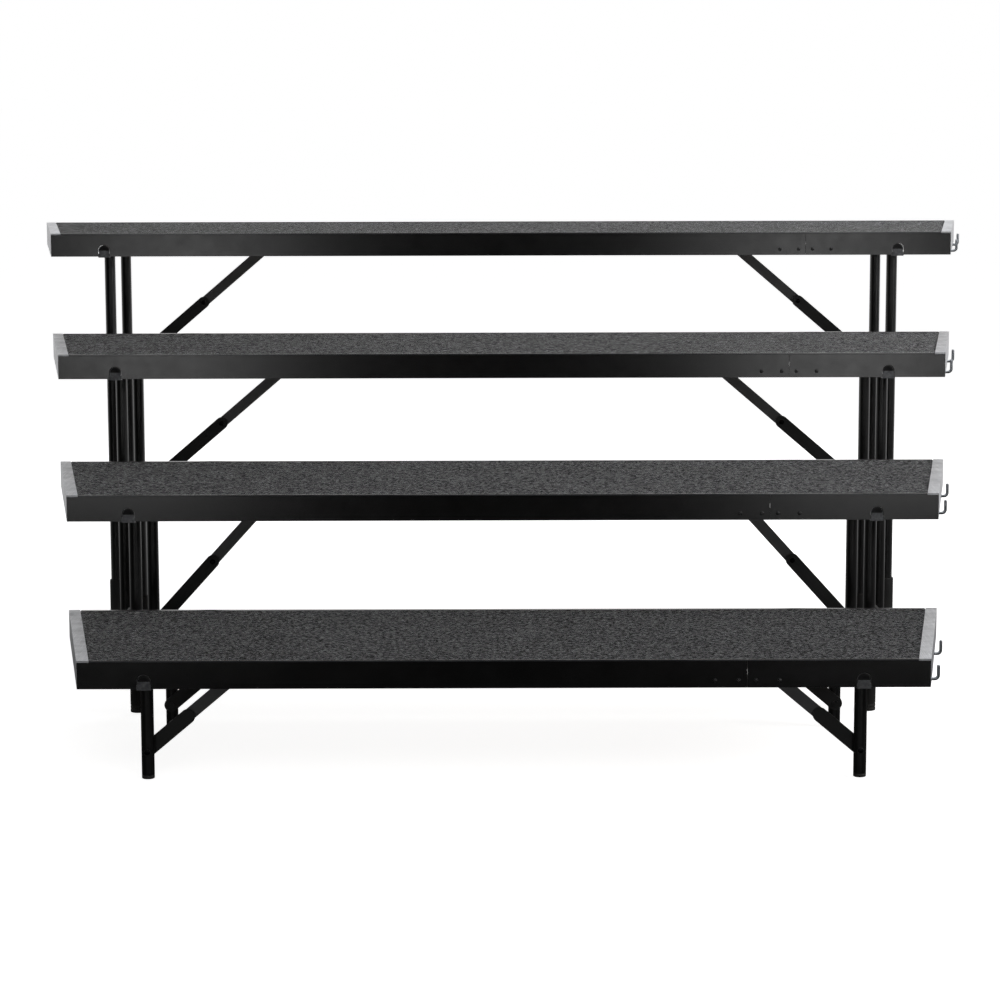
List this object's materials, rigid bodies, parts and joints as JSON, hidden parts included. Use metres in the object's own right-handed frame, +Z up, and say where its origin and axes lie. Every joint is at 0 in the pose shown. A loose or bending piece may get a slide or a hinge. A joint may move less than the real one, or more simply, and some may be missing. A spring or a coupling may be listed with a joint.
{
  "type": "choir riser",
  "caption": "Tapered four-level folding choir riser: carpeted decks with black rails and aluminium end trims on tubular legs that fold under each deck with jointed braces.",
  "frame": {"origin": "middle of the footprint on the floor, under the middle of the riser", "axes": "+X along the tiers to the right as seen by the audience, +Y from the lowest (front) tier to the highest (rear) tier, +Z up"},
  "size_m": [1.9812, 1.8288, 0.8128],
  "materials": {
    "deck_board": "matte",
    "deck_carpet": "matte",
    "rail_black": "satin",
    "edge_aluminium": "satin",
    "nosing_black": "satin",
    "leg_black": "satin",
    "link_black": "satin",
    "zinc_hardware": "satin",
    "foot_rubber": "matte"
  },
  "bodies": {
    "riser": {"deck_panel_1": "deck_board", "deck_carpet_1": "deck_carpet", "front_rail_1": "rail_black", "rear_rail_1": "rail_black", "end_trims_1": "edge_aluminium", "deck_panel_2": "deck_board", "deck_carpet_2": "deck_carpet", "front_rail_2": "rail_black", "rear_rail_2": "rail_black", "end_trims_2": "edge_aluminium", "deck_panel_3": "deck_board", "deck_carpet_3": "deck_carpet", "front_rail_3": "rail_black", "rear_rail_3": "rail_black", "end_trims_3": "edge_aluminium", "deck_panel_4": "deck_board", "deck_carpet_4": "deck_carpet", "front_rail_4": "rail_black", "rear_rail_4": "rail_black", "end_trims_4": "edge_aluminium", "edge_nosings": "nosing_black", "splice_plates": "rail_black", "splice_screws": "zinc_hardware", "pivot_keepers": "zinc_hardware", "brace_brackets": "link_black", "gang_hooks": "zinc_hardware", "tier_catches": "link_black"},
    "leg_1_left": {"leg_frame_1_left": "leg_black", "leg_tips_1_left": "foot_rubber"},
    "brace_lower_1_left": {"brace_lower_1_left": "link_black"},
    "brace_upper_1_left": {"brace_upper_1_left": "link_black"},
    "leg_1_right": {"leg_frame_1_right": "leg_black", "leg_tips_1_right": "foot_rubber"},
    "brace_lower_1_right": {"brace_lower_1_right": "link_black"},
    "brace_upper_1_right": {"brace_upper_1_right": "link_black"},
    "leg_2_left": {"leg_frame_2_left": "leg_black", "leg_tips_2_left": "foot_rubber"},
    "brace_lower_2_left": {"brace_lower_2_left": "link_black"},
    "brace_upper_2_left": {"brace_upper_2_left": "link_black"},
    "leg_2_right": {"leg_frame_2_right": "leg_black", "leg_tips_2_right": "foot_rubber"},
    "brace_lower_2_right": {"brace_lower_2_right": "link_black"},
    "brace_upper_2_right": {"brace_upper_2_right": "link_black"},
    "leg_3_left": {"leg_frame_3_left": "leg_black", "leg_tips_3_left": "foot_rubber"},
    "brace_lower_3_left": {"brace_lower_3_left": "link_black"},
    "brace_upper_3_left": {"brace_upper_3_left": "link_black"},
    "leg_3_right": {"leg_frame_3_right": "leg_black", "leg_tips_3_right": "foot_rubber"},
    "brace_lower_3_right": {"brace_lower_3_right": "link_black"},
    "brace_upper_3_right": {"brace_upper_3_right": "link_black"},
    "leg_4_left": {"leg_frame_4_left": "leg_black", "leg_tips_4_left": "foot_rubber"},
    "brace_lower_4_left": {"brace_lower_4_left": "link_black"},
    "brace_upper_4_left": {"brace_upper_4_left": "link_black"},
    "leg_4_right": {"leg_frame_4_right": "leg_black", "leg_tips_4_right": "foot_rubber"},
    "brace_lower_4_right": {"brace_lower_4_right": "link_black"},
    "brace_upper_4_right": {"brace_upper_4_right": "link_black"}
  },
  "joints": [
    {"name": "leg_fold_1_left", "type": "hinge", "parent": "riser", "child": "leg_1_left", "pos_m": [-0.5788, -0.6858, 0.1682], "axis": [0, -1, 0], "range_deg": [0, 90]},
    {"name": "brace_lower_turn_1_left", "type": "hinge", "parent": "leg_1_left", "child": "brace_lower_1_left", "pos_m": [-0.5788, -0.6858, 0.0452], "axis": [0, -1, 0], "range_deg": [0, 49.89]},
    {"name": "brace_upper_turn_1_left", "type": "hinge", "parent": "riser", "child": "brace_upper_1_left", "pos_m": [-0.4328, -0.6858, 0.1682], "axis": [0, -1, 0], "range_deg": [-40.12, 0]},
    {"name": "leg_fold_1_right", "type": "hinge", "parent": "riser", "child": "leg_1_right", "pos_m": [0.5788, -0.6858, 0.1682], "axis": [0, 1, 0], "range_deg": [0, 90]},
    {"name": "brace_lower_turn_1_right", "type": "hinge", "parent": "leg_1_right", "child": "brace_lower_1_right", "pos_m": [0.5788, -0.6858, 0.0452], "axis": [0, 1, 0], "range_deg": [0, 49.89]},
    {"name": "brace_upper_turn_1_right", "type": "hinge", "parent": "riser", "child": "brace_upper_1_right", "pos_m": [0.4328, -0.6858, 0.1682], "axis": [0, 1, 0], "range_deg": [-40.12, 0]},
    {"name": "leg_fold_2_left", "type": "hinge", "parent": "riser", "child": "leg_2_left", "pos_m": [-0.655, -0.2286, 0.3714], "axis": [0, -1, 0], "range_deg": [0, 90]},
    {"name": "brace_lower_turn_2_left", "type": "hinge", "parent": "leg_2_left", "child": "brace_lower_2_left", "pos_m": [-0.655, -0.2286, 0.1134], "axis": [0, -1, 0], "range_deg": [0, 42.21]},
    {"name": "brace_upper_turn_2_left", "type": "hinge", "parent": "riser", "child": "brace_upper_2_left", "pos_m": [-0.421, -0.2286, 0.3714], "axis": [0, -1, 0], "range_deg": [-47.8, 0]},
    {"name": "leg_fold_2_right", "type": "hinge", "parent": "riser", "child": "leg_2_right", "pos_m": [0.655, -0.2286, 0.3714], "axis": [0, 1, 0], "range_deg": [0, 90]},
    {"name": "brace_lower_turn_2_right", "type": "hinge", "parent": "leg_2_right", "child": "brace_lower_2_right", "pos_m": [0.655, -0.2286, 0.1134], "axis": [0, 1, 0], "range_deg": [0, 42.21]},
    {"name": "brace_upper_turn_2_right", "type": "hinge", "parent": "riser", "child": "brace_upper_2_right", "pos_m": [0.421, -0.2286, 0.3714], "axis": [0, 1, 0], "range_deg": [-47.8, 0]},
    {"name": "leg_fold_3_left", "type": "hinge", "parent": "riser", "child": "leg_3_left", "pos_m": [-0.7312, 0.2286, 0.5746], "axis": [0, -1, 0], "range_deg": [0, 90]},
    {"name": "brace_lower_turn_3_left", "type": "hinge", "parent": "leg_3_left", "child": "brace_lower_3_left", "pos_m": [-0.7312, 0.2286, 0.2986], "axis": [0, -1, 0], "range_deg": [-130.52, 0]},
    {"name": "brace_upper_turn_3_left", "type": "hinge", "parent": "riser", "child": "brace_upper_3_left", "pos_m": [-0.4082, 0.2286, 0.5746], "axis": [0, -1, 0], "range_deg": [0, 139.49]},
    {"name": "leg_fold_3_right", "type": "hinge", "parent": "riser", "child": "leg_3_right", "pos_m": [0.7312, 0.2286, 0.5746], "axis": [0, 1, 0], "range_deg": [0, 90]},
    {"name": "brace_lower_turn_3_right", "type": "hinge", "parent": "leg_3_right", "child": "brace_lower_3_right", "pos_m": [0.7312, 0.2286, 0.2986], "axis": [0, 1, 0], "range_deg": [-130.52, 0]},
    {"name": "brace_upper_turn_3_right", "type": "hinge", "parent": "riser", "child": "brace_upper_3_right", "pos_m": [0.4082, 0.2286, 0.5746], "axis": [0, 1, 0], "range_deg": [0, 139.49]},
    {"name": "leg_fold_4_left", "type": "hinge", "parent": "riser", "child": "leg_4_left", "pos_m": [-0.8074, 0.6858, 0.7778], "axis": [0, -1, 0], "range_deg": [0, 90]},
    {"name": "brace_lower_turn_4_left", "type": "hinge", "parent": "leg_4_left", "child": "brace_lower_4_left", "pos_m": [-0.8074, 0.6858, 0.5018], "axis": [0, -1, 0], "range_deg": [-130.52, 0]},
    {"name": "brace_upper_turn_4_left", "type": "hinge", "parent": "riser", "child": "brace_upper_4_left", "pos_m": [-0.4844, 0.6858, 0.7778], "axis": [0, -1, 0], "range_deg": [0, 139.49]},
    {"name": "leg_fold_4_right", "type": "hinge", "parent": "riser", "child": "leg_4_right", "pos_m": [0.8074, 0.6858, 0.7778], "axis": [0, 1, 0], "range_deg": [0, 90]},
    {"name": "brace_lower_turn_4_right", "type": "hinge", "parent": "leg_4_right", "child": "brace_lower_4_right", "pos_m": [0.8074, 0.6858, 0.5018], "axis": [0, 1, 0], "range_deg": [-130.52, 0]},
    {"name": "brace_upper_turn_4_right", "type": "hinge", "parent": "riser", "child": "brace_upper_4_right", "pos_m": [0.4844, 0.6858, 0.7778], "axis": [0, 1, 0], "range_deg": [0, 139.49]}
  ],
  "couplings": [
    {"joint": "brace_lower_turn_1_left", "follows": "leg_fold_1_left", "ratio": 0.5543},
    {"joint": "brace_upper_turn_1_left", "follows": "leg_fold_1_left", "ratio": -0.4457},
    {"joint": "brace_lower_turn_1_right", "follows": "leg_fold_1_right", "ratio": 0.5543},
    {"joint": "brace_upper_turn_1_right", "follows": "leg_fold_1_right", "ratio": -0.4457},
    {"joint": "brace_lower_turn_2_left", "follows": "leg_fold_2_left", "ratio": 0.46897},
    {"joint": "brace_upper_turn_2_left", "follows": "leg_fold_2_left", "ratio": -0.53103},
    {"joint": "brace_lower_turn_2_right", "follows": "leg_fold_2_right", "ratio": 0.46897},
    {"joint": "brace_upper_turn_2_right", "follows": "leg_fold_2_right", "ratio": -0.53103},
    {"joint": "brace_lower_turn_3_left", "follows": "leg_fold_3_left", "ratio": -1.4502},
    {"joint": "brace_upper_turn_3_left", "follows": "leg_fold_3_left", "ratio": 1.5498},
    {"joint": "brace_lower_turn_3_right", "follows": "leg_fold_3_right", "ratio": -1.4502},
    {"joint": "brace_upper_turn_3_right", "follows": "leg_fold_3_right", "ratio": 1.5498},
    {"joint": "brace_lower_turn_4_left", "follows": "leg_fold_4_left", "ratio": -1.4502},
    {"joint": "brace_upper_turn_4_left", "follows": "leg_fold_4_left", "ratio": 1.5498},
    {"joint": "brace_lower_turn_4_right", "follows": "leg_fold_4_right", "ratio": -1.4502},
    {"joint": "brace_upper_turn_4_right", "follows": "leg_fold_4_right", "ratio": 1.5498}
  ]
}
